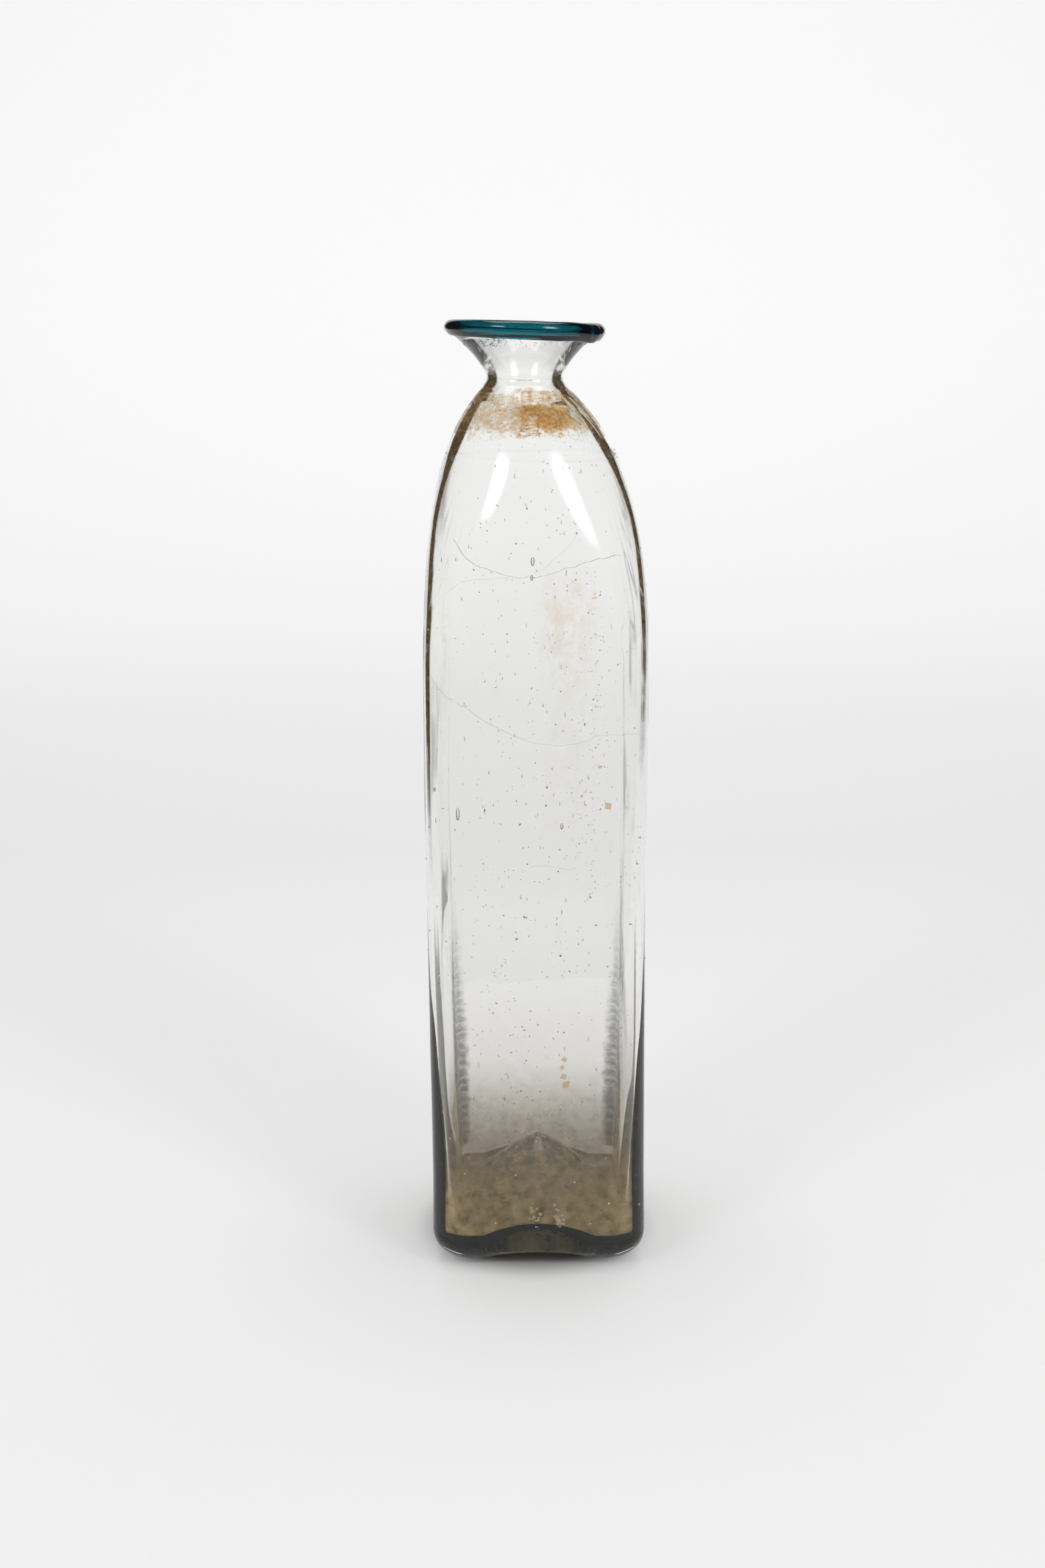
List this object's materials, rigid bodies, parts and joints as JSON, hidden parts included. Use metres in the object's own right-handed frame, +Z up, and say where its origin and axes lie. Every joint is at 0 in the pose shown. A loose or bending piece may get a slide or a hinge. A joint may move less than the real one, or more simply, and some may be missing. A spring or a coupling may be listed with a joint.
{
  "type": "antique glass bottle",
  "caption": "Square blown glass bottle with round shoulders, short neck, flared mouth and a coloured glass thread on the lip.",
  "frame": {"origin": "on the axis of the square body, level with the four feet the bottle stands on", "axes": "+Z up along the body, +X to the right and -Y towards the viewer of the front wall"},
  "size_m": [0.0574, 0.0574, 0.25],
  "materials": {
    "clear_glass": "smooth, slightly grey-green, with seeds",
    "teal_glass": "smooth dark teal",
    "scar_glass": "rough broken glass",
    "brown_film": "matt thin patchy film",
    "pale_flakes": "matt torn flakes",
    "dried_crust": "matt dried crust"
  },
  "bodies": {
    "root": {"vessel": "clear_glass", "rim_thread": "teal_glass", "pontil_scar": "scar_glass", "shoulder_film": "brown_film", "label_flakes": "pale_flakes", "floor_crust": "dried_crust"}
  },
  "joints": []
}
